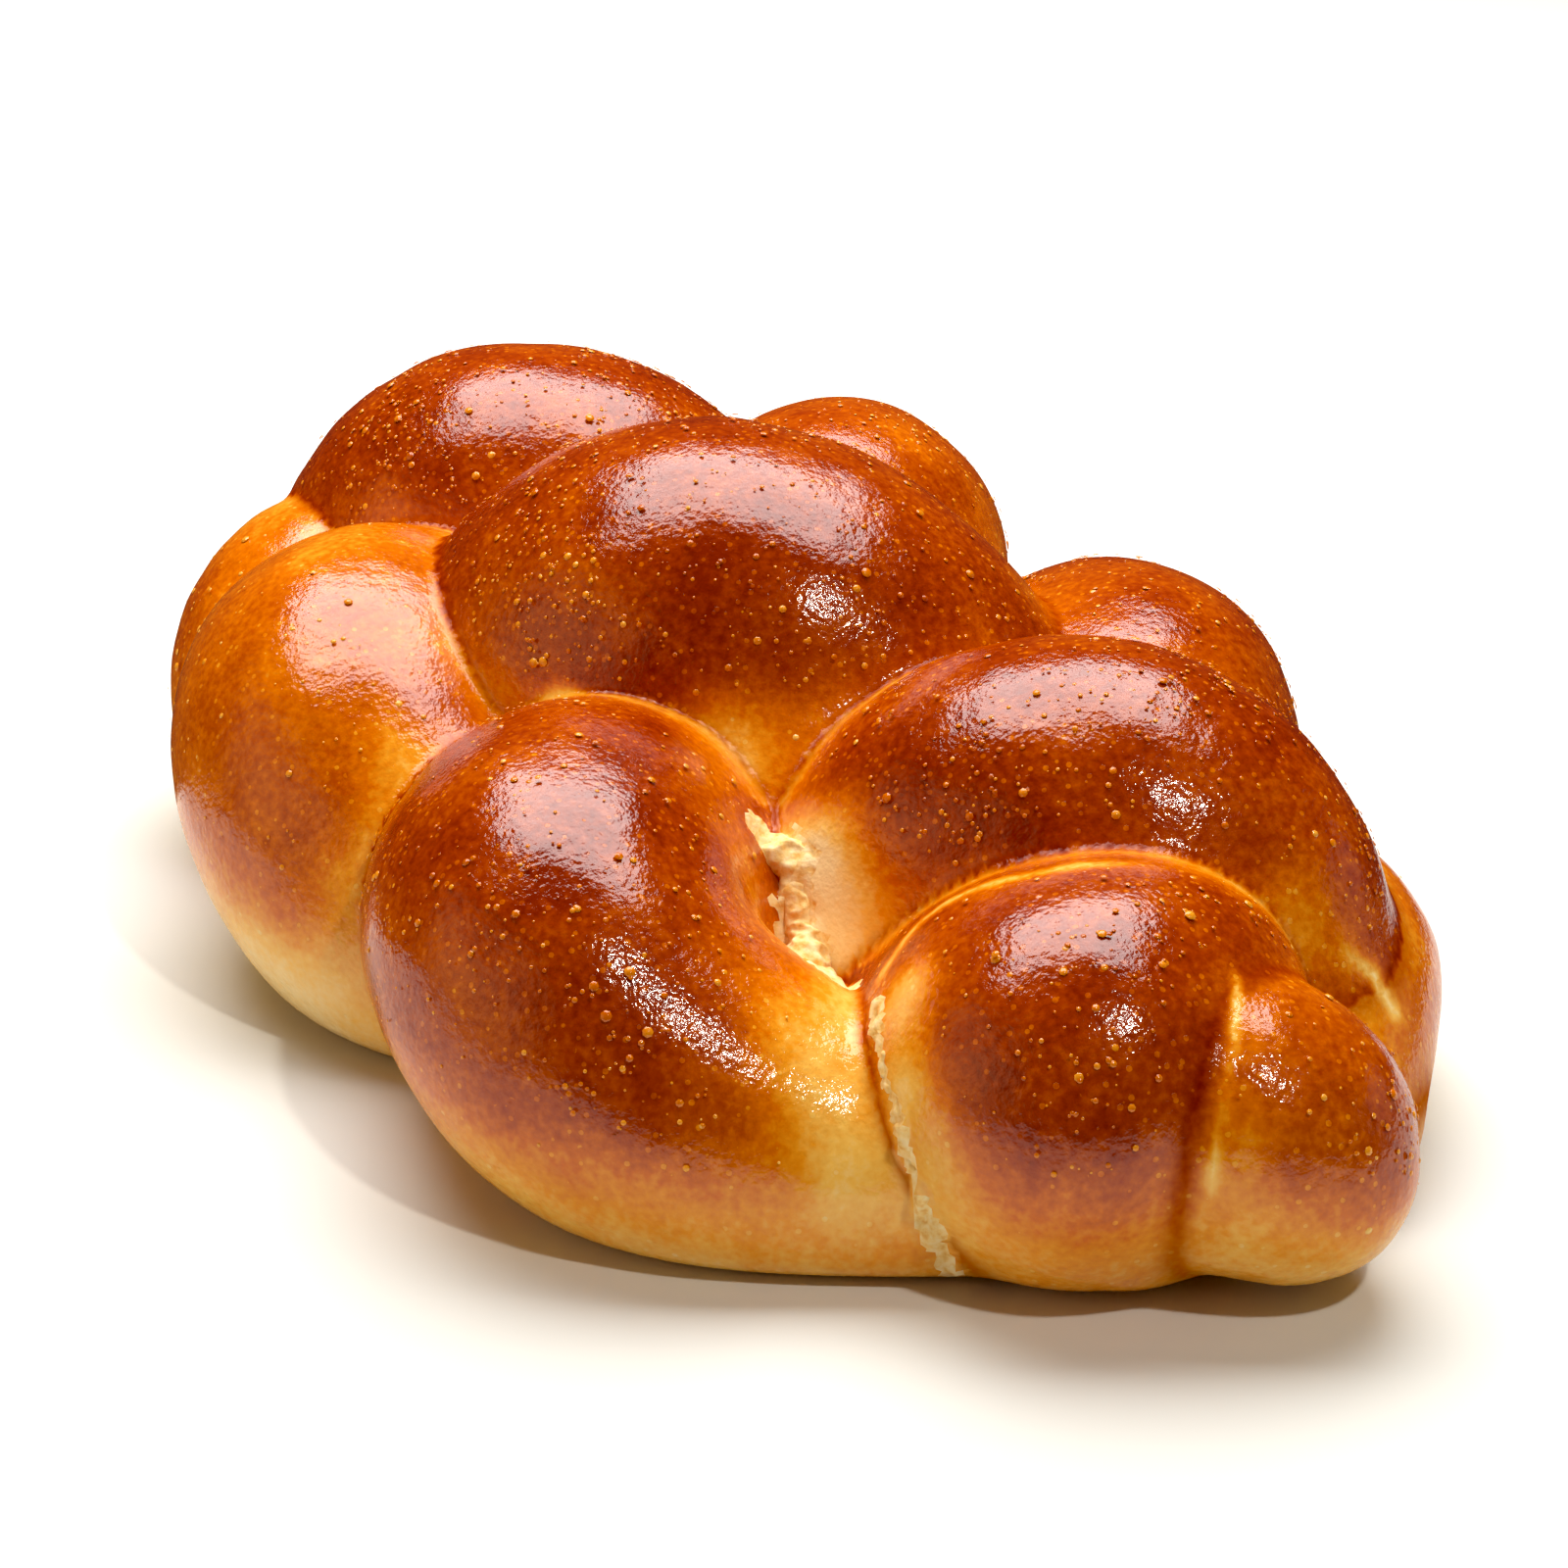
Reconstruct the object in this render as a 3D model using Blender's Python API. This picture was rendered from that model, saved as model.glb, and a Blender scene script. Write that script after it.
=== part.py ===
"""Braided egg loaf, baked in one piece from a plait of four strands of dough.

Each strand follows the plaiter's rule. It swings from side to side once a turn, it bobs
over and under three times a turn, and the four strands are a quarter turn apart. Where a
strand lies on top it has room to rise, so it swells into a lobe. The strands are joined
into one body over a core of crumb, and the tray has made the underside flat.

Stations count the crossings along the loaf, 0 at the big lobe in the middle. The loaf lies
along X with its nearer end at +X, Y is across it and +Z is up. Metres.
"""

import math

import bmesh
import bpy
import numpy as np
from mathutils import Vector

MM = 0.001

# Driving dimensions of the plait, in millimetres. Those marked with crossings are stations.
CROSSING_PITCH = 85.0
END_CROWDING = 5.0
MIDDLE_SHIFT = -0.20  # crossings
HALF_SWING = 58.0
SIDE_SQUARING = 0.06
STRAND_RADIUS = 29.0
MIDDLE_HEIGHT = 31.0
BOB_HEIGHT = 15.0
END_BEND = 1.5  # sideways, for each squared crossing from the middle
FAR_END = 2.15  # crossings
NEAR_END = 1.93  # crossings
TUCKED_SHARE = 0.22
END_POWER = 1.75

# How much a lobe swells and rises, and how far each way it does so in quarter turns
CENTRE_SWELL, CENTRE_RISE, CENTRE_REACH = 10.0, 0.0, 0.31
NEAR_SWELL, NEAR_RISE, NEAR_REACH = 9.0, -1.0, 0.61
FAR_SWELL, FAR_RISE, FAR_REACH = 0.5, -2.0, 0.66

# How the hand-made lobes differ from the rule. The key is the crossing at the top of the
# lobe. Its values are how far the lobe is moved along, across and up, how much thicker it
# is, all in millimetres, and how far each way that reaches, in crossings.
CENTRE_LOBES = {
    -1.0: (-6, -10, 6, 7, 0.46),
    0.0: (3, -6, 4, 4, 0.49),
    1.0: (3, 20, 2, 1, 0.55),
    2.0: (11, 7, 11, 11, 0.39),
}
NEAR_LOBES = {
    -1.5: (2, -4, -1, -4, 0.57),
    -0.5: (-7, -9, -8, -3, 0.65),
    0.5: (3, -17, -10, -1, 0.55),
    1.5: (9, 11, 1, 8, 0.36),
}
FAR_LOBES = {
    -0.5: (0, 0, 1, 6, 0.63),
    0.5: (13, 6, -9, 1, 0.60),
    1.5: (12, 0, -16, -2, 0.60),
}

# Quarter turns, from its top in the middle, at which a strand shows as each kind of lobe
CENTRE_TURN, FAR_TURN, NEAR_TURN = 0.0, 1.5, 2.5
SAME_LOBE = 0.01  # quarter turns

STRANDS = 4
RINGS = 64
END_RINGS = 4
RING_STEPS = 9  # bevel resolution, which gives 4 + 2 * this many sides
CORE_LENGTH_SHARE = 0.75
CORE_HALF_WIDTH = 42.0
CORE_HALF_HEIGHT = 30.0
CORE_MIDDLE_HEIGHT = 22.0
CUTTER_SIDE = 1.0

CRUST_COLOUR = (0.42, 0.13, 0.03, 1.0)
CRUST_ROUGHNESS = 0.3


def gap(turn, turn_of_lobe):
    """Quarter turns from one turn to another, the short way round."""
    return (turn - turn_of_lobe + 2.0) % 4.0 - 2.0


def envelope(station):
    """1 at the middle of the loaf, falling towards its tucked ends."""
    last = NEAR_END if station > 0 else FAR_END
    share = min(abs(station) / last, 1.0)
    return math.sqrt(1.0 - (1.0 - TUCKED_SHARE**2) * share**END_POWER)


def lobe_growth(turn):
    """How much a strand swells and rises there because it shows on top."""
    growth = np.zeros(2)
    for at, swell, rise, reach in (
        (CENTRE_TURN, CENTRE_SWELL, CENTRE_RISE, CENTRE_REACH),
        (FAR_TURN, FAR_SWELL, FAR_RISE, FAR_REACH),
        (NEAR_TURN, NEAR_SWELL, NEAR_RISE, NEAR_REACH),
    ):
        growth += np.array((swell, rise)) * math.exp(-((gap(turn, at) / reach) ** 2))
    return growth


def hand_made(station, turn):
    """The differences of the lobe that this bit of strand belongs to, fading away from its top."""
    total = np.zeros(4)
    for at, lobes in ((CENTRE_TURN, CENTRE_LOBES), (FAR_TURN, FAR_LOBES), (NEAR_TURN, NEAR_LOBES)):
        for crossing, (*differences, reach) in lobes.items():
            if abs(gap(turn, at) - (station - crossing)) < SAME_LOBE:
                fade = math.exp(-(((station - crossing) / reach) ** 2))
                total += fade * np.array(differences)
    return total


def strand_knot(strand, station):
    """A strand's middle and its radius at a station, in millimetres."""
    turn = (station - strand) % STRANDS
    angle = turn * math.pi / 2
    size = envelope(station)
    swell, rise = lobe_growth(turn)
    along, across, up, thicker = hand_made(station, turn)
    place = station + MIDDLE_SHIFT
    sideways = math.sin(angle) - SIDE_SQUARING * math.sin(3 * angle)
    middle = Vector(
        (
            CROSSING_PITCH * place - END_CROWDING * place**3 + along,
            HALF_SWING * size * sideways + END_BEND * station**2 + across,
            (MIDDLE_HEIGHT + BOB_HEIGHT * math.cos(3 * angle) + rise) * size + up,
        )
    )
    return middle, (STRAND_RADIUS + swell) * size + thicker


def strand_knots(strand):
    """The knots of a strand from end to end, with a round cap of shrinking rings at each end."""
    knots = [strand_knot(strand, station) for station in np.linspace(-FAR_END, NEAR_END, RINGS)]
    for end, inner in ((0, 1), (-1, -2)):
        (middle, radius), (before, _) = knots[end], knots[inner]
        outward = (middle - before).normalized()
        cap = []
        for i in range(1, END_RINGS + 1):
            angle = i / (END_RINGS + 1) * math.pi / 2
            cap.append((middle + outward * radius * math.sin(angle), radius * math.cos(angle)))
        knots = knots + cap if end else cap[::-1] + knots
    return knots


def new_collection(name):
    collection = bpy.data.collections.new(name)
    bpy.context.scene.collection.children.link(collection)
    return collection


def mesh_of(obj):
    """A mesh object, placed by its points, with the shape of the object that it takes the place of."""
    graph = bpy.context.evaluated_depsgraph_get()
    mesh = bpy.data.meshes.new_from_object(obj.evaluated_get(graph))
    mesh.transform(obj.matrix_world)
    shape = bmesh.new()
    shape.from_mesh(mesh)
    bmesh.ops.remove_doubles(shape, verts=shape.verts, dist=0.01 * MM)
    bmesh.ops.recalc_face_normals(shape, faces=shape.faces)
    shape.to_mesh(mesh)
    shape.free()
    made = bpy.data.objects.new(obj.name, mesh)
    for collection in obj.users_collection:
        collection.objects.link(made)
    bpy.data.objects.remove(obj)
    return made


def strand_tube(strand, collection):
    knots = strand_knots(strand)
    curve = bpy.data.curves.new(f"strand_{strand + 1}", "CURVE")
    curve.dimensions = "3D"
    curve.bevel_depth = MM
    curve.bevel_resolution = RING_STEPS
    curve.use_fill_caps = True
    spline = curve.splines.new("POLY")
    spline.points.add(len(knots) - 1)
    for point, (middle, radius) in zip(spline.points, knots):
        point.co = (*(middle * MM), 1.0)
        point.radius = radius
    tube = bpy.data.objects.new(curve.name, curve)
    collection.objects.link(tube)
    return mesh_of(tube)


def crumb_core(collection):
    """The crumb that fills the space between the strands."""
    ends = [strand_knot(0, station)[0].x for station in (-FAR_END, NEAR_END)]
    half_length = CORE_LENGTH_SHARE * (ends[1] - ends[0]) / 2
    middle = (sum(ends) / 2 * MM, 0.0, CORE_MIDDLE_HEIGHT * MM)
    bpy.ops.mesh.primitive_uv_sphere_add(segments=32, ring_count=16, radius=1.0, location=middle)
    core = bpy.context.object
    core.name = "crumb_core"
    core.scale = (half_length * MM, CORE_HALF_WIDTH * MM, CORE_HALF_HEIGHT * MM)
    for owner in core.users_collection:
        owner.objects.unlink(core)
    collection.objects.link(core)
    return core


def joined(base, others):
    """One body made of the base and every object of the other collection."""
    union = base.modifiers.new("Join strands", "BOOLEAN")
    union.operation = "UNION"
    union.operand_type = "COLLECTION"
    union.collection = others
    union.solver = "EXACT"
    union.use_self = True
    body = mesh_of(base)
    for obj in list(others.objects):
        bpy.data.objects.remove(obj)
    return body


def flat_underside(body, cutters):
    """Cuts off what the tray flattened, below the plane that the loaf rests on."""
    bpy.ops.mesh.primitive_cube_add(size=CUTTER_SIDE, location=(0.0, 0.0, -CUTTER_SIDE / 2))
    tray_cut = bpy.context.object
    tray_cut.name = "tray_cut"
    tray_cut.hide_render = True
    tray_cut.display_type = "WIRE"
    for owner in tray_cut.users_collection:
        owner.objects.unlink(tray_cut)
    cutters.objects.link(tray_cut)
    cut = body.modifiers.new("Flat underside", "BOOLEAN")
    cut.operation = "DIFFERENCE"
    cut.object = tray_cut
    cut.solver = "EXACT"
    flat = mesh_of(body)
    bpy.data.objects.remove(tray_cut)
    return flat


def centre_on_origin(body):
    """Moves the shape so that the origin is the centre of its underside's box."""
    corners = np.array([v.co for v in body.data.vertices])
    low, high = corners.min(axis=0), corners.max(axis=0)
    shift = Vector((-(low[0] + high[0]) / 2, -(low[1] + high[1]) / 2, -low[2]))
    for vertex in body.data.vertices:
        vertex.co += shift
    size = (high - low) / MM
    print("loaf", [round(float(side), 1) for side in size], "mm, moved by", [round(s / MM, 2) for s in shift])


def crust_material():
    material = bpy.data.materials.new("egg_washed_crust")
    material.use_nodes = True
    shader = material.node_tree.nodes["Principled BSDF"]
    shader.inputs["Base Color"].default_value = CRUST_COLOUR
    shader.inputs["Roughness"].default_value = CRUST_ROUGHNESS
    shader.inputs["Metallic"].default_value = 0.0
    return material


def main():
    for obj in list(bpy.data.objects):
        bpy.data.objects.remove(obj)
    dough = new_collection("dough")
    loaf_parts = new_collection("braided_loaf")
    cutters = new_collection("cutters")
    for strand in range(STRANDS):
        strand_tube(strand, dough)
    body = joined(crumb_core(loaf_parts), dough)
    body = flat_underside(body, cutters)
    body.name = "loaf"
    body.data.name = "loaf"
    centre_on_origin(body)
    body.data.shade_smooth()
    body.data.set_sharp_from_angle(angle=math.radians(50))
    body.data.materials.append(crust_material())


main()
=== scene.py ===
# %% [markdown]
# # A braided egg loaf
#
# A four-strand plait of rich dough, glazed with beaten egg and baked until its tops are the
# colour of mahogany. The plain solid model gives its size and its lobes. This script gives it
# the looks: the crust's finish, its blisters, the torn crumb in its folds, and the light.
# It is read from top to bottom, one small step in each cell. Lengths are written in
# millimetres and turned to metres where Blender needs them.

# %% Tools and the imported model
import math

import bpy
import numpy as np
import openvdb
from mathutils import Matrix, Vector


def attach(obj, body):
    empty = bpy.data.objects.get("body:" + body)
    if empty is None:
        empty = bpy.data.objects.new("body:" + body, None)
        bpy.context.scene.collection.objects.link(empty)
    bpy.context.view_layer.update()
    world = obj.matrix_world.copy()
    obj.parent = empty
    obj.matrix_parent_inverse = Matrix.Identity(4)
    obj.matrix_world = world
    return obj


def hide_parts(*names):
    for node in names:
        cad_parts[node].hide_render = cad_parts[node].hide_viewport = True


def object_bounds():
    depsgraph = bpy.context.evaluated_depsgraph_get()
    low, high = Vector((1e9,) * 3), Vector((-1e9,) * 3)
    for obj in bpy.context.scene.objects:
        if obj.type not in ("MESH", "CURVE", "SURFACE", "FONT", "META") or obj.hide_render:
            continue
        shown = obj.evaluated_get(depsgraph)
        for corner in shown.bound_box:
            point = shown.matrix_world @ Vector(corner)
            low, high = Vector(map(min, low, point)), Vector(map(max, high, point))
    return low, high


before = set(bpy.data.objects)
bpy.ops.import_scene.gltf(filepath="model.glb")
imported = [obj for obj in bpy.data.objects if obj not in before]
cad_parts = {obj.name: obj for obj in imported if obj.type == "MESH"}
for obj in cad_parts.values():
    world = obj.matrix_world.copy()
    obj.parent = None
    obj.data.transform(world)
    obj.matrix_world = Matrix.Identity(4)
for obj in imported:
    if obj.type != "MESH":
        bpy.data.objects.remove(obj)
solid_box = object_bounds()
MM = 0.001
SEED = 7


# %% [markdown]
# ## The camera
#
# The loaf is seen from its nearer end and a little from above, through a short telephoto
# lens. The camera comes first, so that everything after it can be looked at.

# %% Camera
VIEW_AZIMUTH, VIEW_ELEVATION = 62.3, 22.7
VIEW_DISTANCE = 572.0
VIEW_TARGET = (-3.6, 2.2, 30.2)
FRAME_PIXELS = 1600
FOCAL_PIXELS = 3327
SENSOR = 36.0


def direction(azimuth, elevation):
    """The unit vector towards a compass angle, counted from -Y, and a height angle."""
    a, e = math.radians(azimuth), math.radians(elevation)
    return Vector((math.sin(a) * math.cos(e), -math.cos(a) * math.cos(e), math.sin(e)))


def aim(obj, place, target):
    obj.location = place
    obj.rotation_euler = (target - place).to_track_quat("-Z", "Y").to_euler()


def add_camera():
    data = bpy.data.cameras.new("camera")
    data.sensor_width = SENSOR
    data.lens = SENSOR * FOCAL_PIXELS / FRAME_PIXELS
    camera = bpy.data.objects.new("camera", data)
    bpy.context.scene.collection.objects.link(camera)
    target = Vector(VIEW_TARGET) * MM
    aim(camera, target + direction(VIEW_AZIMUTH, VIEW_ELEVATION) * VIEW_DISTANCE * MM, target)
    bpy.context.scene.camera = camera
    return camera


camera = add_camera()
print("lens", round(camera.data.lens, 1), "mm")


# %% [markdown]
# ## The plaiter's rule
#
# Each strand swings from side to side once a turn and bobs over and under three times a
# turn, and the four strands are a quarter turn apart. Where a strand shows on top it has
# room to rise, and swells. These are the solid model's own sizes, so the two fit each other.

# %% Sizes of the plait, in millimetres and crossings
CROSSING_PITCH, END_CROWDING, MIDDLE_SHIFT = 85.0, 5.0, -0.20
HALF_SWING, SIDE_SQUARING, END_BEND = 58.0, 0.06, 1.5
STRAND_RADIUS, MIDDLE_HEIGHT, BOB_HEIGHT = 29.0, 31.0, 15.0
FAR_END, NEAR_END, TUCKED_SHARE, END_POWER = 2.15, 1.93, 0.22, 1.75
PLAIT_ORIGIN = np.array((-0.8, 2.15, 0.0))
STRANDS = 4
SAME_LOBE = 0.01

# For each kind of lobe: the quarter turn of its top, its swell, its rise and its reach
CENTRE, FAR, NEAR = (0.0, 10.0, 0.0, 0.31), (1.5, 0.5, -2.0, 0.66), (2.5, 9.0, -1.0, 0.61)

# For each lobe: the crossing at its top, then along, across, up, thicker and reach
HAND_MADE = {
    CENTRE: {
        -1.0: (-6, -10, 6, 7, 0.46),
        0.0: (3, -6, 4, 4, 0.49),
        1.0: (3, 20, 2, 1, 0.55),
        2.0: (11, 7, 11, 11, 0.39),
    },
    NEAR: {
        -1.5: (2, -4, -1, -4, 0.57),
        -0.5: (-7, -9, -8, -3, 0.65),
        0.5: (3, -17, -10, -1, 0.55),
        1.5: (9, 11, 1, 8, 0.36),
    },
    FAR: {
        -0.5: (0, 0, 1, 6, 0.63),
        0.5: (13, 6, -9, 1, 0.60),
        1.5: (12, 0, -16, -2, 0.60),
    },
}

# Lumps that fill out a strand beside a fold: the strand, then the lump's middle and radius,
# in millimetres
DOUGH_LUMPS = (
    (0, (27, -12, 38), 17.0),
    (3, (104, 8, 32), 22.0),
)
LUMP_WIDTH = 10.0

# Touches of the hand between the lobes: the strand, its station and the reach, then how far
# the strand is moved along, across and up and how much thicker it is, in millimetres
TOUCHES = (
    (1, 0.66, 0.13, (0.0, 0.0, -9.0), -3.0),
    (2, 0.64, 0.16, (0.0, 0.0, 0.0), -2.0),
    (2, 0.94, 0.26, (-1.0, -2.0, -0.5), -1.2),
    (2, 1.08, 0.20, (0.0, -2.0, 2.0), 1.8),
    (3, 1.66, 0.16, (-2.0, -1.0, 0.0), -2.5),
)


# %% Where each strand runs
def gap(turn, top):
    return (turn - top + 2.0) % 4.0 - 2.0


def strand_path(strand, knots):
    """Stations, middles and radii of a strand at evenly spaced knots, in millimetres."""
    station = np.linspace(-FAR_END, NEAR_END, knots)
    turn = (station - strand) % STRANDS
    angle = turn * math.pi / 2
    share = np.abs(station) / np.where(station > 0, NEAR_END, FAR_END)
    size = np.sqrt(1.0 - (1.0 - TUCKED_SHARE**2) * np.minimum(share, 1.0) ** END_POWER)
    swell, rise = np.zeros(knots), np.zeros(knots)
    moved = np.zeros((knots, 4))
    for kind, lobes in HAND_MADE.items():
        top, most, up, reach = kind
        near = np.exp(-((gap(turn, top) / reach) ** 2))
        swell += most * near
        rise += up * near
        for crossing, (*differences, lobe_reach) in lobes.items():
            own = np.abs(gap(turn, top) - (station - crossing)) < SAME_LOBE
            fade = own * np.exp(-(((station - crossing) / lobe_reach) ** 2))
            moved += fade[:, None] * np.array(differences)
    place = station + MIDDLE_SHIFT
    x = CROSSING_PITCH * place - END_CROWDING * place**3
    y = HALF_SWING * size * (np.sin(angle) - SIDE_SQUARING * np.sin(3 * angle)) + END_BEND * station**2
    z = (MIDDLE_HEIGHT + BOB_HEIGHT * np.cos(3 * angle) + rise) * size
    middle = np.stack((x, y, z), axis=1) + moved[:, :3] + PLAIT_ORIGIN
    radius = (STRAND_RADIUS + swell) * size + moved[:, 3]
    for touched, at, reach, shift, thicker in TOUCHES:
        if touched == strand:
            share = np.exp(-(((station - at) / reach) ** 2))
            middle += share[:, None] * np.array(shift)
            radius += thicker * share
    return station, middle, radius


KNOTS = 180
paths = [strand_path(strand, KNOTS) for strand in range(STRANDS)]
CORE_MIDDLE, CORE_HALF = np.array((-18.0, 2.0, 22.0)), np.array((112.0, 42.0, 30.0))
print("strands are", [round(2 * float(path[2].max())) for path in paths], "mm thick at most")


# %% [markdown]
# ## One skin over four strands
#
# Baking joins the strands, so the crust is one skin. A distance field makes it: for any
# point, how far it is from the nearest strand. The field is sampled on a grid, and the skin
# is drawn where it is zero. A soft minimum rounds the folds as risen dough does, and a soft
# maximum against the tray rounds the edge of the flat underside.

# %% Distance fields
def soft_min(a, b, width):
    h = np.maximum(width - np.abs(a - b), 0.0) / width
    return np.minimum(a, b) - h * h * width / 4.0


def field_of(strand_distances, core, height):
    """The skin's own distance from the strands' distances, the core's and the height."""
    skin = strand_distances[0]
    for other in strand_distances[1:]:
        skin = soft_min(skin, other, FOLD_WIDTH)
    skin = soft_min(skin, core, CORE_WIDTH)
    return -soft_min(-skin, height, TRAY_ROUNDING)


def core_distance(points):
    scaled = (points - CORE_MIDDLE) / CORE_HALF
    return (np.sqrt((scaled**2).sum(-1)) - 1.0) * CORE_HALF.min()


FOLD_WIDTH, CORE_WIDTH, TRAY_ROUNDING = 2.2, 6.0, 5.0
CELL = 1.36
FIELD_REACH = 9.0
GRID_MARGIN = 8.0
low = np.array(solid_box[0]) / MM - GRID_MARGIN
high = np.array(solid_box[1]) / MM + GRID_MARGIN
counts = np.ceil((high - low) / CELL).astype(int)
axes = [low[i] + CELL * np.arange(counts[i]) for i in range(3)]


def ball_grid(middles, radii):
    """The distance to the nearest of many balls, sampled on the grid."""
    grid = np.full(counts, FIELD_REACH, np.float32)
    for middle, radius in zip(middles, radii):
        reach = radius + FIELD_REACH
        span = [slice(*np.searchsorted(axes[i], (middle[i] - reach, middle[i] + reach))) for i in range(3)]
        x, y, z = (((axes[i][span[i]] - middle[i]) ** 2).astype(np.float32) for i in range(3))
        here = np.sqrt(x[:, None, None] + y[None, :, None] + z[None, None, :]) - np.float32(radius)
        part = grid[span[0], span[1], span[2]]
        np.minimum(part, here, out=part)
    return grid


def strand_grid(strand):
    grid = ball_grid(paths[strand][1], paths[strand][2])
    for owner, middle, radius in DOUGH_LUMPS:
        if owner == strand:
            grid = soft_min(grid, ball_grid([np.array(middle)], [radius]), LUMP_WIDTH)
    return grid


def skin_mesh():
    """Points and quads of the joined skin."""
    cells = np.stack(np.meshgrid(*axes, indexing="ij"), axis=-1)
    height = np.broadcast_to(cells[..., 2], counts)
    field = field_of([strand_grid(strand) for strand in range(STRANDS)], core_distance(cells), height)
    grid = openvdb.FloatGrid(FIELD_REACH)
    grid.copyFromArray(np.ascontiguousarray(field, np.float32))
    points, quads = grid.convertToQuads(0.0)
    return points * CELL + low, quads


points, quads = skin_mesh()
print("the skin has", len(points), "points and", len(quads), "faces")


# %% Every skin point's distance to each strand
def strand_distances(points):
    """Distance from each strand, and the nearest knot on each."""
    distances = np.full((STRANDS, len(points)), np.inf, np.float32)
    knots = np.zeros((STRANDS, len(points)), int)
    points = points.astype(np.float32)
    for strand, (_, middle, radius) in enumerate(paths):
        for i in range(KNOTS):
            offset = points - middle[i].astype(np.float32)
            here = np.sqrt(np.einsum("ij,ij->i", offset, offset)) - np.float32(radius[i])
            closer = here < distances[strand]
            distances[strand][closer] = here[closer]
            knots[strand][closer] = i
    for strand, middle, radius in DOUGH_LUMPS:
        here = np.linalg.norm(points - np.array(middle, np.float32), axis=1) - radius
        distances[strand] = soft_min(distances[strand], here, LUMP_WIDTH)
    return distances, knots


def skin_field(points):
    distances, _ = strand_distances(points)
    return field_of(list(distances), core_distance(points), points[:, 2])


def point_normals(points, quads):
    """The unit direction out of the skin at each point, the mean of the faces around it."""
    a, b, c, d = (points[quads[:, i]] for i in range(4))
    crossed = np.cross(c - a, d - b)
    total = np.zeros_like(points)
    for i in range(4):
        np.add.at(total, quads[:, i], crossed)
    return total / np.maximum(np.linalg.norm(total, axis=1, keepdims=True), TINY)


TINY = 1e-9
SETTLING_ROUNDS = 2
normals = point_normals(points, quads)
if (normals * (points - points.mean(0))).sum() < 0:
    quads = quads[:, ::-1]
    normals = -normals
# The grid leaves steps of its own, so each point is moved onto the skin by its distance
for _ in range(SETTLING_ROUNDS):
    points = points - normals * np.clip(skin_field(points), -CELL, CELL)[:, None]
normals = point_normals(points, quads)
distances, knots = strand_distances(points)


# %% [markdown]
# ## How brown each spot bakes
#
# Crust browns where the oven's heat and the egg wash reach it. A strand that dives under
# another was hidden from both until the dough rose, so it is pale there, and it fades to
# brown as it comes out. The strand on top is brown right up to the fold. So at each point
# the rule asks which strand lies higher, and how far off it is. Flanks near the tray are paler.

# %% Helpers for soft steps and soft lumps
def smooth_step(low, high, values):
    t = np.clip((values - low) / (high - low), 0.0, 1.0)
    return t * t * (3.0 - 2.0 * t)


def waves(points, size, seed, count=24):
    """Smooth seeded lumps of about the given size, between about -1 and 1."""
    rng = np.random.default_rng(seed)
    turns = rng.normal(0.0, 1.0, (count, 3)) * 2.0 / size
    starts = rng.uniform(0.0, 2.0 * math.pi, count)
    total = np.zeros(len(points))
    for turn, start in zip(turns, starts):
        total += np.sin(points @ turn + start)
    return total / math.sqrt(count)


# %% Which strand shows, which is its neighbour, and how far the fold is
order = np.argsort(distances, axis=0)
each = np.arange(len(points))
own, other = order[0], order[1]
fold = distances[other, each] - distances[own, each]
middles = np.array([path[1] for path in paths])
own_knot, other_knot = knots[own, each], knots[other, each]
own_station = paths[0][0][own_knot]
own_turn = (own_station - own) % STRANDS
tangents = np.gradient(middles, axis=1)
tangents /= np.linalg.norm(tangents, axis=2, keepdims=True)
own_middle, other_middle = middles[own, own_knot], middles[other, other_knot]
own_tangent = tangents[own, own_knot]
above = other_middle[:, 2] - own_middle[:, 2]
towards = other_middle - own_middle
towards /= np.linalg.norm(towards, axis=1, keepdims=True)
diving = np.abs((own_tangent * towards).sum(1))
print("folds within 3 mm of", round(float((fold < 3.0).mean()) * 100), "percent of the skin")


# %% Browning of the whole skin
# How brown each lobe bakes next to the big one in the middle
LOBE_BROWNING = {CENTRE: (1.0, 1.0, 1.0, 1.05), NEAR: (0.55, 0.60, 0.97, 0.98), FAR: (0.8, 0.95, 0.7)}

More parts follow.
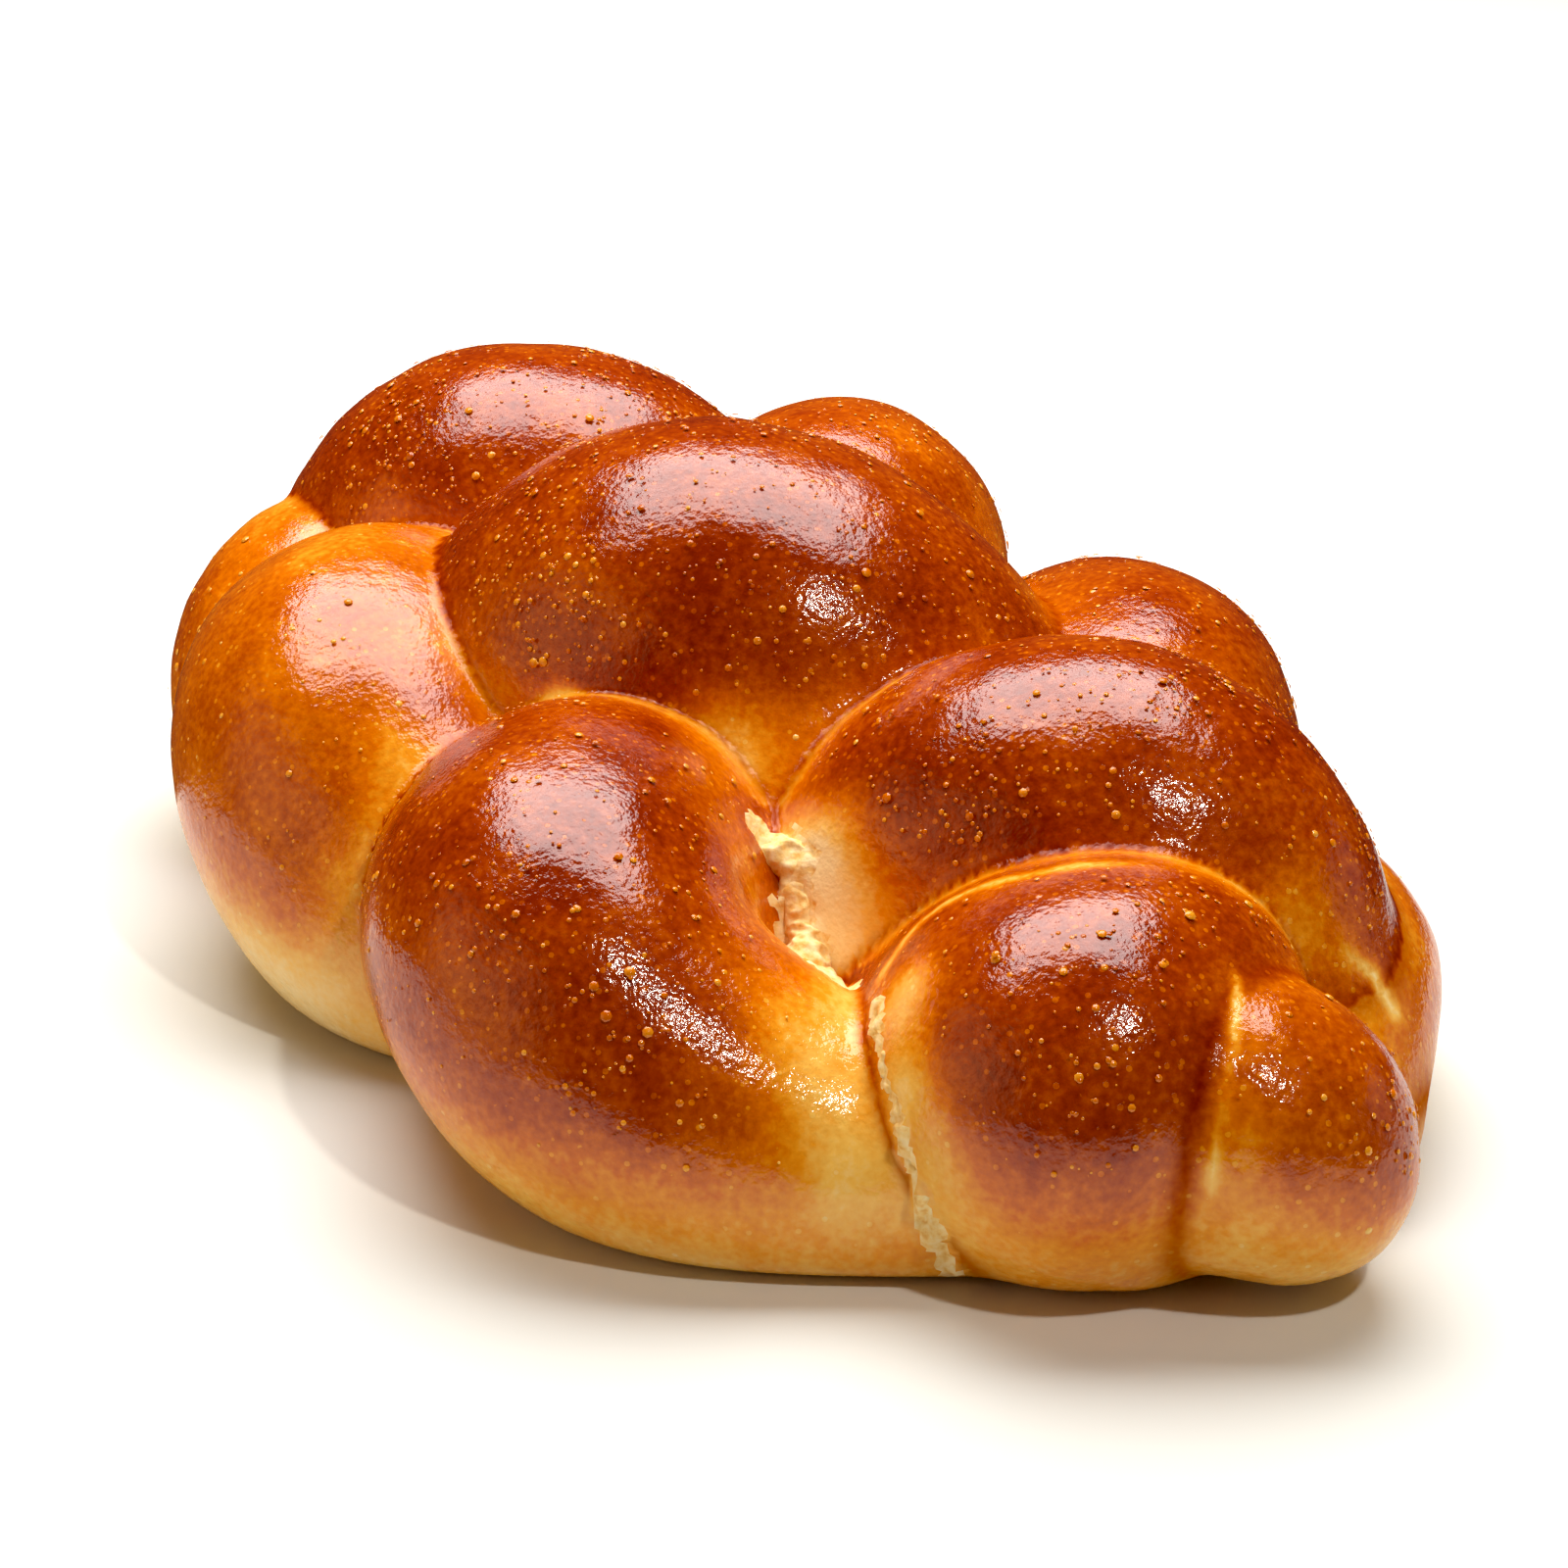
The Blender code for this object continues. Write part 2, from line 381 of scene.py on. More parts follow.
# Spots where this loaf baked its own way: the strand, the middle and the reach in
# millimetres, then the browning there and its share. A level below 0 makes a wider pale patch
HAND_SPOTS = (
    (0, (-6, -38, 70), (20, 13, 12), 0.64, 0.6),
    (0, (19, -31, 59), (11, 9, 7), 0.95, 0.9),
    (0, (32, -26, 52), (15, 9, 11), 0.12, 0.95),
    (0, (38, -10, 58), (13, 11, 11), 0.38, 0.8),
    (0, (18, 40, 66), (9, 8, 7), 0.42, 0.8),
    (0, (-7, -50, 55), (12, 7, 7), 0.26, 0.8),
    (0, (-105, -51, 59), (13, 12, 11), 0.42, 0.9),
    (0, (112, 46, 28), (14, 10, 14), 0.36, 0.6),
    (1, (68, -20, 42), (14, 10, 12), 0.42, 0.7),
    (1, (55, -25, 42), (12, 10, 15), -0.20, 0.98),
    (1, (64, -26, 35), (14, 9, 11), -0.10, 0.95),
    (1, (80, -16, 44), (14, 6, 7), 0.42, 0.5),
    (1, (108, 30, 42), (10, 10, 9), 0.26, 0.8),
    (1, (0, -69, 50), (10, 6, 14), 0.24, 0.8),
    (1, (-52, -62, 70), (28, 14, 10), 0.42, 0.6),
    (1, (-6, -84, 10), (44, 16, 16), 0.02, 0.9),
    (2, (52, -34, 50), (9, 7, 9), 0.44, 0.8),
    (2, (58, -35, 42), (10, 7, 9), 0.28, 0.85),
    (2, (67, -37, 37), (10, 8, 8), 0.22, 0.85),
    (2, (66, -28, 33), (12, 6, 7), 0.04, 0.9),
    (2, (84, -46, 41), (13, 9, 9), 0.36, 0.6),
    (2, (50, -90, 40), (24, 10, 15), 0.42, 0.6),
    (2, (97, -45, 30), (12, 9, 10), 0.15, 0.9),
    (2, (108, -44, 22), (11, 8, 13), 0.16, 0.9),
    (2, (44, -32, 62), (18, 5, 9), 0.42, 0.7),
    (2, (144, -4, 28), (4, 5, 15), 0.27, 0.8),
    (2, (-44, 70, 50), (12, 10, 10), 0.40, 0.5),
    (3, (12, 48, 60), (14, 12, 12), 0.55, 0.9),
    (3, (99, -32, 42), (9, 8, 9), 0.16, 0.95),
    (3, (109, -39, 33), (9, 7, 9), 0.08, 0.95),
    (3, (117, -39, 24), (9, 7, 11), 0.08, 0.95),
    (3, (118, -34, 10), (8, 7, 10), 0.16, 0.9),
    (3, (97, -14, 54), (8, 18, 4), 0.40, 0.5),
    (3, (-78, -42, 62), (12, 10, 8), 0.34, 0.6),
)


# What a strand between its lobes bakes to, and how far a lobe's own browning reaches in crossings
PLAIN_BROWNING, BROWNING_REACH = 0.85, 0.6


def lobe_browning():
    level = np.full(len(points), PLAIN_BROWNING)
    for kind, lobes in HAND_MADE.items():
        for crossing, share in zip(lobes, LOBE_BROWNING[kind]):
            mine = np.abs(gap(own_turn, kind[0]) - (own_station - crossing)) < SAME_LOBE
            near = mine * np.exp(-(((own_station - crossing) / BROWNING_REACH) ** 4))
            level += near * (share - PLAIN_BROWNING)
    return level


# The browning under an overhang, what the oven's heat adds as the skin turns up, and what
# the flattest tops lose again
OVERHANG, HEAT_FROM_ABOVE, FLAT_TOP_LOSS = 0.39, 0.48, 0.08
# The share that is left beside the tray, and the heights between which it grows to the whole
TRAY_SHARE, TRAY_HEIGHTS = 0.52, (5.0, 42.0)
# The reach of a fold's shelter, its browning and its share
SHELTER_REACH, SHELTER_BROWNING, SHELTER_SHARE = 9.0, 0.46, 0.26
# Where a strand was covered: its browning, and how far that reaches past the fold, which is
# further where the strand dives straight under its neighbour
COVERED_BROWNING, COVERED_REACH, DIVING_REACH = 0.26, 2.2, 12.0
COVERED_DEPTHS = (-3.0, 8.0)

upward, height = normals[:, 2], points[:, 2]
bake = OVERHANG + HEAT_FROM_ABOVE * smooth_step(-0.60, 0.35, upward)
bake -= FLAT_TOP_LOSS * smooth_step(0.65, 1.0, upward)
bake *= TRAY_SHARE + (1.0 - TRAY_SHARE) * smooth_step(*TRAY_HEIGHTS, height)
bake *= lobe_browning()
covered = smooth_step(*COVERED_DEPTHS, above)
reach = COVERED_REACH + DIVING_REACH * diving**2
pale = covered * np.exp(-((fold / reach) ** 2))
beside_fold = np.exp(-((fold / SHELTER_REACH) ** 2))
bake += SHELTER_SHARE * beside_fold * np.minimum(SHELTER_BROWNING - bake, 0.0)
bake += pale * np.minimum(COVERED_BROWNING - bake, 0.0)
for strand, middle, reach, level, share in HAND_SPOTS:
    away = (points - np.array(middle)) / np.array(reach)
    bake += share * (own == strand) * np.exp(-(away**2).sum(1)) * (level - bake)
bake += 0.04 * waves(points, 22.0, SEED) + 0.015 * waves(points, 8.0, SEED + 1)
bake = np.clip(bake, 0.0, 1.0)
print("browning", np.round(np.percentile(bake, (5, 25, 50, 75, 95)), 2))


# %% [markdown]
# ## The crust as a mesh
#
# First come the places where the skin tore in a fold or stretched thin at an edge. Risen
# dough is never quite smooth, so the skin also gets a gentle unevenness before it becomes a
# Blender mesh. The browning goes along as a point attribute, for the material to read.

# %% Tears in the folds, and lobes with a pale edge
# Places along each tear and its half width, in millimetres
TEARS = {
    "tear_beside_the_big_fold": (
        ((48, -26, 48), (52, -27, 44), (56, -28, 40), (60, -29, 35), (66, -29, 32), (74, -29, 33)),
        4.0,
    ),
    "tear_beside_the_near_lobe": (
        (
            (93, -33, 37), (100, -37, 35), (105, -38, 31), (110, -39, 26),
            (113, -38, 19), (114, -36, 11), (113, -32, 4),
        ),
        2.3,
    ),
}
# Where a lobe's skin stretched thin at its edge: the places along it, its width in
# millimetres and its browning
PALE_EDGES = (
    (
        (
            (87, -29, 40), (85, -22, 46), (88, -16, 51), (95, -11, 55),
            (101, -1, 57), (104, 5, 55), (104, 12, 53),
        ),
        2.1,
        0.14,
    ),
    (((127, 6, 48), (135, 0, 43), (139, -4, 39), (141, -6, 33), (142, -8, 24), (140, -9, 12)), 1.1, 0.10),
    (((109, 38, 37), (111, 43, 33), (114, 45, 28)), 1.7, 0.05),
    (((-1, -50, 56), (2, -44, 57), (9, -40, 59), (18, -38, 60), (24, -33, 58)), 1.5, 0.22),
)


def on_skin(path):
    """The nearest skin point to each place."""
    places = np.array(path, float)
    nearest = [np.linalg.norm(points - place, axis=1).argmin() for place in places]
    return points[nearest]


def from_path(spots, path):
    """The distance from a path of straight bits."""
    nearest = np.full(len(spots), np.inf)
    path = np.array(path, float)
    for start, end in zip(path[:-1], path[1:]):
        span = end - start
        t = np.clip(((spots - start) @ span) / (span @ span), 0.0, 1.0)
        nearest = np.minimum(nearest, np.linalg.norm(spots - start - t[:, None] * span, axis=1))
    return nearest


# Torn edges wander by about a millimetre
ragged = 0.9 * waves(points, 6.0, SEED + 8) + 0.5 * waves(points, 3.0, SEED + 9)
NOT_TORN = -9.0
torn = np.full(len(points), NOT_TORN)
for path, half_width in TEARS.values():
    torn = np.maximum(torn, half_width - from_path(points, on_skin(path)) + ragged)
edge = np.zeros(len(points))
for path, width, level in PALE_EDGES:
    near = np.exp(-((np.maximum(from_path(points, path) - 0.4 * ragged, 0.0) / width) ** 2))
    bake += near * (level - bake)
    edge = np.maximum(edge, near)
print("points in the torn crumb:", int((torn > 0.0).sum()))


# %% Crust object
def new_mesh_object(name, points, faces, attributes):
    mesh = bpy.data.meshes.new(name)
    mesh.from_pydata((points * MM).tolist(), [], faces.tolist())
    for key, values in attributes.items():
        layer = mesh.attributes.new(key, "FLOAT", "POINT")
        layer.data.foreach_set("value", np.ascontiguousarray(values, np.float32))
    mesh.shade_smooth()
    obj = bpy.data.objects.new(name, mesh)
    bpy.context.scene.collection.objects.link(obj)
    return obj


CREASE_REACH = 1.3
uneven = 0.35 * waves(points, 30.0, SEED + 2) + 0.14 * waves(points, 9.0, SEED + 3)
strings = np.abs(waves(points * np.array((1.0, 1.0, 0.45)), 3.2, SEED + 7))
uneven += smooth_step(0.0, 2.0, torn) * (1.3 * strings - 0.4)
uneven += 0.2 * edge * smooth_step(-0.5, 0.8, ragged)
lifted = smooth_step(1.0, 6.0, height)
skin_points = points + normals * (uneven * lifted)[:, None]
# Nearness to the bottom of a fold: the crust's material paints shade there and thins the wash
crease = np.exp(-((fold / CREASE_REACH) ** 2)) * (1.0 - edge) * (torn < 0.0)
crust = new_mesh_object("crust", skin_points, quads, {"bake": bake, "crease": crease})
print("the skin moves in and out by up to", round(float(np.abs(uneven * lifted).max()), 1), "mm")
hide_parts("loaf")
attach(crust, "root")


# %% [markdown]
# ## Egg-washed crust
#
# Egg wash bakes to a thin clear film over the browned skin. In Blender that is a coat on
# the Principled shader: the brown below is broad and soft, and the film above mirrors the
# lights. Its fine orange-peel bump breaks the mirrored lights up at their edges.

# %% Colour and node helpers
def linear(hex_colour):
    """An sRGB hex colour as the linear RGBA that Blender's sockets take."""
    channels = [int(hex_colour[i : i + 2], 16) / 255 for i in (1, 3, 5)]
    return [c / 12.92 if c <= 0.04045 else ((c + 0.055) / 1.055) ** 2.4 for c in channels] + [1.0]


def add_node(tree, kind, settings=None, links=None):
    """Adds a node. Settings are attributes, or inputs by name or number, and links are inputs."""
    node = tree.nodes.new(kind)
    for key, value in (settings or {}).items():
        if isinstance(key, int) or key in node.inputs:
            node.inputs[key].default_value = value
        else:
            setattr(node, key, value)
    for key, output in (links or {}).items():
        tree.links.new(output, node.inputs[key])
    return node


def set_stops(ramp, stops):
    """Gives a colour ramp its positions and colours."""
    elements = ramp.color_ramp.elements
    elements[0].position, elements[0].color = stops[0][0], linear(stops[0][1])
    elements[1].position, elements[1].color = stops[-1][0], linear(stops[-1][1])
    for position, colour in stops[1:-1]:
        elements.new(position).color = linear(colour)


def per_millimetre(size):
    """The scale of a pattern whose lumps are about this many millimetres."""
    return 1.0 / (size * MM)


# %% Egg-washed crust material
# From crumb that never browned, through gold and amber, to the mahogany of the tops
CRUST_COLOURS = (
    (0.00, "#FAE3A8"),
    (0.14, "#F4BE58"),
    (0.28, "#E8941E"),
    (0.44, "#D26A04"),
    (0.62, "#B24B03"),
    (0.80, "#983302"),
    (1.00, "#7C2000"),
)
# Painted shade: the olive brown that darkens the bottom of each fold
FOLD_SHADE_COLOUR = "#C8A070"
COAT_SHARE = 0.70
# Sizes of the crust's patterns, in millimetres
FLECKS, CLOUDS, SPECKS, CROWDS, PORES, SLACK = 1.5, 15.0, 1.7, 16.0, 0.9, 4.5


def crust_material():
    material = bpy.data.materials.new("egg_washed_crust")
    material.use_nodes = True
    tree = material.node_tree
    shader = tree.nodes["Principled BSDF"]
    place = add_node(tree, "ShaderNodeTexCoord").outputs["Object"]
    baked = add_node(tree, "ShaderNodeAttribute", {"attribute_name": "bake"}).outputs["Fac"]
    creased = add_node(tree, "ShaderNodeAttribute", {"attribute_name": "crease"}).outputs["Fac"]

    # Browning is never even: fine flecks where the skin rose and thinned, and broad clouds
    fine = {"Scale": per_millimetre(FLECKS), "Detail": 4.0}
    flecks = add_node(tree, "ShaderNodeTexNoise", fine, {"Vector": place}).outputs["Fac"]
    broad = {"Scale": per_millimetre(CLOUDS), "Detail": 2.0}
    clouds = add_node(tree, "ShaderNodeTexNoise", broad, {"Vector": place}).outputs["Fac"]
    both = add_node(tree, "ShaderNodeMath", {"operation": "ADD"}, {0: flecks, 1: clouds}).outputs[0]
    centred = add_node(tree, "ShaderNodeMath", {"operation": "SUBTRACT", 1: 1.0}, {0: both}).outputs[0]
    share = {"operation": "MULTIPLY_ADD", 1: 0.72, 2: 0.08}
    strength = add_node(tree, "ShaderNodeMath", share, {0: baked}).outputs[0]
    add = {"operation": "MULTIPLY_ADD"}
    browned = add_node(tree, "ShaderNodeMath", add, {0: centred, 1: strength, 2: baked}).outputs[0]

    # Pinhead blisters, too small to model: a round spot in some cells of a pattern
    cells = add_node(tree, "ShaderNodeTexVoronoi", {"Scale": per_millimetre(SPECKS)}, {"Vector": place})
    small = {"operation": "LESS_THAN", 1: 0.27}
    spot = add_node(tree, "ShaderNodeMath", small, {0: cells.outputs["Distance"]}).outputs[0]
    drawn = add_node(tree, "ShaderNodeSeparateColor", links={"Color": cells.outputs["Color"]})
    wide = {"Scale": per_millimetre(CROWDS), "Detail": 1.0}
    crowd = add_node(tree, "ShaderNodeTexNoise", wide, {"Vector": place}).outputs["Fac"]
    times = {"operation": "MULTIPLY"}
    likely = add_node(tree, "ShaderNodeMath", times, {0: crowd, 1: baked}).outputs[0]
    less = {"operation": "LESS_THAN"}
    picked = add_node(tree, "ShaderNodeMath", less, {0: drawn.outputs["Red"], 1: likely}).outputs[0]
    speck = add_node(tree, "ShaderNodeMath", times, {0: spot, 1: picked}).outputs[0]
    seen = add_node(tree, "ShaderNodeMath", times, {0: speck, 1: baked}).outputs[0]
    paler = {"operation": "MULTIPLY_ADD", 1: -0.30}
    level = add_node(tree, "ShaderNodeMath", paler, {0: seen, 2: browned}).outputs[0]
    ramp = add_node(tree, "ShaderNodeValToRGB", links={"Fac": level})
    set_stops(ramp, CRUST_COLOURS)

    # Deep in a fold the colour is multiplied towards a dull olive brown, which is painted shade, and the
    # wash fades out there
    painted_fold_shade = {"data_type": "RGBA", "blend_type": "MULTIPLY", 7: linear(FOLD_SHADE_COLOUR)}
    fold_shaded = add_node(tree, "ShaderNodeMix", painted_fold_shade, {0: creased, 6: ramp.outputs["Color"]})
    tree.links.new(fold_shaded.outputs[2], shader.inputs["Base Color"])
    washed = {"operation": "MULTIPLY_ADD", 1: -COAT_SHARE, 2: COAT_SHARE}
    coat = add_node(tree, "ShaderNodeMath", washed, {0: creased})
    tree.links.new(coat.outputs[0], shader.inputs["Coat Weight"])
    shader.inputs["Roughness"].default_value = 0.6
    shader.inputs["Specular IOR Level"].default_value = 0.0
    shader.inputs["Coat Roughness"].default_value = 0.11
    shader.inputs["Coat IOR"].default_value = 1.6

    # The film follows the skin's pores and its slack, which break up the mirrored lights
    fine = {"Scale": per_millimetre(PORES), "Detail": 2.0}
    pores = add_node(tree, "ShaderNodeTexNoise", fine, {"Vector": place}).outputs["Fac"]
    broad = {"Scale": per_millimetre(SLACK), "Detail": 2.0}
    slack = add_node(tree, "ShaderNodeTexNoise", broad, {"Vector": place}).outputs["Fac"]
    raise_specks = {"operation": "MULTIPLY_ADD", 1: 1.2}
    raised = add_node(tree, "ShaderNodeMath", raise_specks, {0: speck, 2: pores}).outputs[0]
    low = {"Strength": 0.9, "Distance": 0.14 * MM}
    fine_bump = add_node(tree, "ShaderNodeBump", low, {"Height": raised}).outputs["Normal"]
    high = {"Strength": 0.5, "Distance": 0.45 * MM}
    bump = add_node(tree, "ShaderNodeBump", high, {"Height": slack, "Normal": fine_bump})
    tree.links.new(bump.outputs["Normal"], shader.inputs["Normal"])
    tree.links.new(bump.outputs["Normal"], shader.inputs["Coat Normal"])
    return material


crust_finish = crust_material()
crust.data.materials.append(crust_finish)


# %% [markdown]
# ## The tray side
#
# The underside sat on a hot tray, out of reach of the egg wash. It is dry, matt and brown in
# soft patches, so it gets a finish of its own.

# %% Underside
TRAY_SLOT, TORN_SLOT = 1, 2
TRAY_TOUCH = 0.6  # millimetres


def tray_baked_material():
    material = bpy.data.materials.new("tray_baked_underside")
    material.use_nodes = True
    tree = material.node_tree
    shader = tree.nodes["Principled BSDF"]
    place = add_node(tree, "ShaderNodeTexCoord").outputs["Object"]
    blotches = {"Scale": per_millimetre(6.0), "Detail": 4.0}
    patches = add_node(tree, "ShaderNodeTexNoise", blotches, {"Vector": place}).outputs["Fac"]
    ramp = add_node(tree, "ShaderNodeValToRGB", links={"Fac": patches})
    set_stops(ramp, ((0.30, "#C98A45"), (0.50, "#A8662A"), (0.70, "#7E4416")))
    tree.links.new(ramp.outputs["Color"], shader.inputs["Base Color"])
    shader.inputs["Roughness"].default_value = 0.85
    shader.inputs["Specular IOR Level"].default_value = 0.3
    fine = {"Scale": per_millimetre(1.6), "Detail": 3.0}
    grain = add_node(tree, "ShaderNodeTexNoise", fine, {"Vector": place}).outputs["Fac"]
    rough = {"Strength": 0.6, "Distance": 0.3 * MM}
    bump = add_node(tree, "ShaderNodeBump", rough, {"Height": grain})
    tree.links.new(bump.outputs["Normal"], shader.inputs["Normal"])
    return material


def paint_underside(obj):
    obj.data.materials.append(tray_baked_material())
    low_points = height < TRAY_TOUCH
    under = low_points[quads].all(axis=1)
    obj.data.polygons.foreach_set("material_index", np.where(under, TRAY_SLOT, 0).astype(np.int32))
    return int(under.sum())


print("faces on the tray:", paint_underside(crust))


# %% [markdown]
# ## Blisters
#
# Steam under the egg-washed skin raises small thin blisters, gold against the brown. They
# are real little domes here, scattered over the browned tops by seeded draws and joined
# into one mesh, so that each one catches its own spark of light.

# %% Scattered blisters
BLISTERS = 9000
DOME_SIDES, DOME_RINGS = 7, 2
DOME_LEAN = 1.75  # radians from the top to the rim
# Radii in millimetres, and a blister's height and browning as shares of its radius and its place
USUAL_RADIUS, RADIUS_SPREAD, RADIUS_LIMITS = 0.30, 0.46, (0.15, 0.9)
HEIGHT_SHARES, BROWNING_SHARES = (0.20, 0.36), (0.38, 0.68)
SEATING = 0.12


def dome_template():
    """Points and faces of a dome one unit wide and high, its rim a little under the skin."""
    template = [(0.0, 0.0, 1.0)]
    for ring in range(1, DOME_RINGS + 1):
        lean = ring / DOME_RINGS * DOME_LEAN
        for side in range(DOME_SIDES):
            turn = 2.0 * math.pi * side / DOME_SIDES
            out = math.sin(lean)
            template.append((out * math.cos(turn), out * math.sin(turn), math.cos(lean)))
    faces = [(0, 1 + side, 1 + (side + 1) % DOME_SIDES) for side in range(DOME_SIDES)]
    for ring in range(DOME_RINGS - 1):
        first = 1 + ring * DOME_SIDES
        for side in range(DOME_SIDES):
            near, far = first + side, first + (side + 1) % DOME_SIDES
            faces += [(near, near + DOME_SIDES, far + DOME_SIDES), (near, far + DOME_SIDES, far)]
    return np.array(template), np.array(faces)


def scatter_on_skin(weights, count, seed):
    """Seeded places on the skin: the point's number and its place, picked by weight."""
    rng = np.random.default_rng(seed)
    picked = rng.choice(len(skin_points), count, p=weights / weights.sum())
    return rng, picked, skin_points[picked] + rng.uniform(-0.5, 0.5, (count, 3)) * CELL


def square_directions(normal):
    """Two directions square to each normal and to each other."""
    side = np.cross(normal, np.array((0.31, 0.17, 0.93)))
    side /= np.linalg.norm(side, axis=1, keepdims=True)
    return side, np.cross(normal, side)


def joined_domes(name, places, normal, radii, heights, levels):
    shape, faces = dome_template()
    across, along = square_directions(normal)
    turned = (
        shape[None, :, :1] * across[:, None] * radii[:, None, None]
        + shape[None, :, 1:2] * along[:, None] * radii[:, None, None]
        + shape[None, :, 2:] * normal[:, None] * heights[:, None, None]
    )
    dome_points = (turned + places[:, None]).reshape(-1, 3)
    firsts = len(shape) * np.arange(len(places))
    dome_faces = (faces[None] + firsts[:, None, None]).reshape(-1, 3)
    attributes = {"bake": np.repeat(levels, len(shape)), "crease": np.zeros(len(dome_points))}
    return new_mesh_object(name, dome_points, dome_faces, attributes)


def add_blisters():
    patchy = 0.5 + 0.5 * waves(points, 26.0, SEED + 5)
    weights = smooth_step(0.42, 0.80, bake) * smooth_step(-0.35, 0.25, upward) + 0.03 * (bake > 0.3)
    weights *= 0.25 + np.clip(patchy, 0.0, 2.0) ** 2
    weights *= (height > 8.0) * smooth_step(2.0, 7.0, fold) * (torn < -1.0)
    rng, picked, places = scatter_on_skin(weights, BLISTERS, SEED + 6)
    drawn = rng.lognormal(math.log(USUAL_RADIUS), RADIUS_SPREAD, len(picked))
    radii = np.clip(drawn, *RADIUS_LIMITS)
    heights = radii * rng.uniform(*HEIGHT_SHARES, len(picked))
    levels = bake[picked] * rng.uniform(*BROWNING_SHARES, len(picked))
    seated = places - normals[picked] * (SEATING * radii)[:, None]
    blisters = joined_domes("blisters", seated, normals[picked], radii, heights, levels)
    blisters.data.materials.append(crust_finish)
    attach(blisters, "root")
    return blisters


print("blisters have", len(add_blisters().data.polygons), "faces")


# %% [markdown]
# ## Torn crumb
#
# Two strands that bake side by side tear their shared skin as they rise. The crumb that
# shows in the tear is cream, matt and stringy, with small holes. The torn faces of the skin
# get its finish, and a low ridge of strings stands on them, made by the same kind of distance
# field on a much finer grid.

# %% Crumb
CRUMB_CELL = 0.45
SUNK_SHARE = 0.70
SKIN_AROUND = 6.0
LONG_STRINGS, SHORT_STRINGS, END_TAPER = 2.8, 1.3, 8.0
RIDGE_MARGIN = 2.0


def crumb_material():
    material = bpy.data.materials.new("torn_crumb")
    material.use_nodes = True
    tree = material.node_tree
    shader = tree.nodes["Principled BSDF"]
    place = add_node(tree, "ShaderNodeTexCoord").outputs["Object"]
    fine = {"Scale": per_millimetre(1.5), "Detail": 3.0}
    holes = add_node(tree, "ShaderNodeTexNoise", fine, {"Vector": place}).outputs["Fac"]
    ramp = add_node(tree, "ShaderNodeValToRGB", links={"Fac": holes})
    set_stops(ramp, ((0.30, "#E2A84E"), (0.45, "#F2CC80"), (0.65, "#FAE2AC")))
    tree.links.new(ramp.outputs["Color"], shader.inputs["Base Color"])
    shader.inputs["Roughness"].default_value = 0.7
    shader.inputs["Specular IOR Level"].default_value = 0.4
    bump = add_node(tree, "ShaderNodeBump", {"Strength": 0.8, "Distance": 0.4 * MM}, {"Height": holes})
    tree.links.new(bump.outputs["Normal"], shader.inputs["Normal"])
    return material


def sunk(path, depth):
    """The path moved below the skin, against the mean direction of the skin around it."""
    moved = []
    for spot in np.array(path, float):
        near = np.linalg.norm(skin_points - spot, axis=1) < SKIN_AROUND
        out = normals[near].mean(0)
        moved.append(spot - out / np.linalg.norm(out) * depth)
    return np.array(moved)


def ridge_field(spots, path, half_width, seed):
    """The distance from a ridge of torn strings, which narrows towards both of its ends."""
    long_strings = np.abs(waves(spots, LONG_STRINGS, seed))
    strings = long_strings * 0.8 + 0.2 * waves(spots, SHORT_STRINGS, seed + 1)
    ends = np.minimum(np.linalg.norm(spots - path[0], axis=1), np.linalg.norm(spots - path[-1], axis=1))
    width = half_width * (0.45 + 0.55 * smooth_step(0.0, END_TAPER, ends))
    return from_path(spots, path) - width + strings


def add_tear(name, path, half_width, seed):
    path = sunk(on_skin(path), SUNK_SHARE * half_width)
    corner = path.min(0) - half_width - RIDGE_MARGIN
    size = np.ceil((path.max(0) + half_width + RIDGE_MARGIN - corner) / CRUMB_CELL).astype(int)
    axes = [corner[i] + CRUMB_CELL * np.arange(size[i]) for i in range(3)]
    spots = np.stack(np.meshgrid(*axes, indexing="ij"), axis=-1).reshape(-1, 3)
    field = ridge_field(spots, path, half_width, seed).reshape(size)
    grid = openvdb.FloatGrid(FIELD_REACH)
    grid.copyFromArray(np.ascontiguousarray(field, np.float32))
    tear_points, tear_quads = grid.convertToQuads(0.0)
    tear = new_mesh_object(name, tear_points * CRUMB_CELL + corner, tear_quads[:, ::-1], {})
    tear.data.materials.append(crumb_finish)
    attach(tear, "root")
    return len(tear_quads)


crumb_finish = crumb_material()
crust.data.materials.append(crumb_finish)
torn_faces = (torn > 0.0)[quads].all(axis=1) & (height[quads] > 1.0).all(axis=1)
parts = np.zeros(len(quads), np.int32)
crust.data.polygons.foreach_get("material_index", parts)
crust.data.polygons.foreach_set("material_index", np.where(torn_faces, TORN_SLOT, parts).astype(np.int32))
print("faces of torn crumb:", int(torn_faces.sum()))
for number, (name, (path, half_width)) in enumerate(TEARS.items()):
    print(name, add_tear(name, path, half_width, SEED + 10 + number), "faces")


# %% [markdown]
# ## Floor and lights
#
# The loaf lies on white paper. A very large softbox gives the broad pale patch on each lobe,
# and a small hard lamp the crisp sparkles. A warm board beside the loaf lifts its flank, and
# a faint white one edges the far lobes.

# %% Floor
def white_paper():
    material = bpy.data.materials.new("white_paper")
    material.use_nodes = True
    shader = material.node_tree.nodes["Principled BSDF"]
    shader.inputs["Base Color"].default_value = linear("#E3E3E0")
    shader.inputs["Roughness"].default_value = 0.9
    shader.inputs["Specular IOR Level"].default_value = 0.2
    return material


def add_paper(name, side, place, turn, height, finish):
    """A square sheet of the floor."""
    bpy.ops.mesh.primitive_plane_add(size=side, location=(*place, height), rotation=(0.0, 0.0, turn))
    sheet = bpy.context.object
    sheet.name = name
    sheet.data.materials.append(finish)
    return sheet


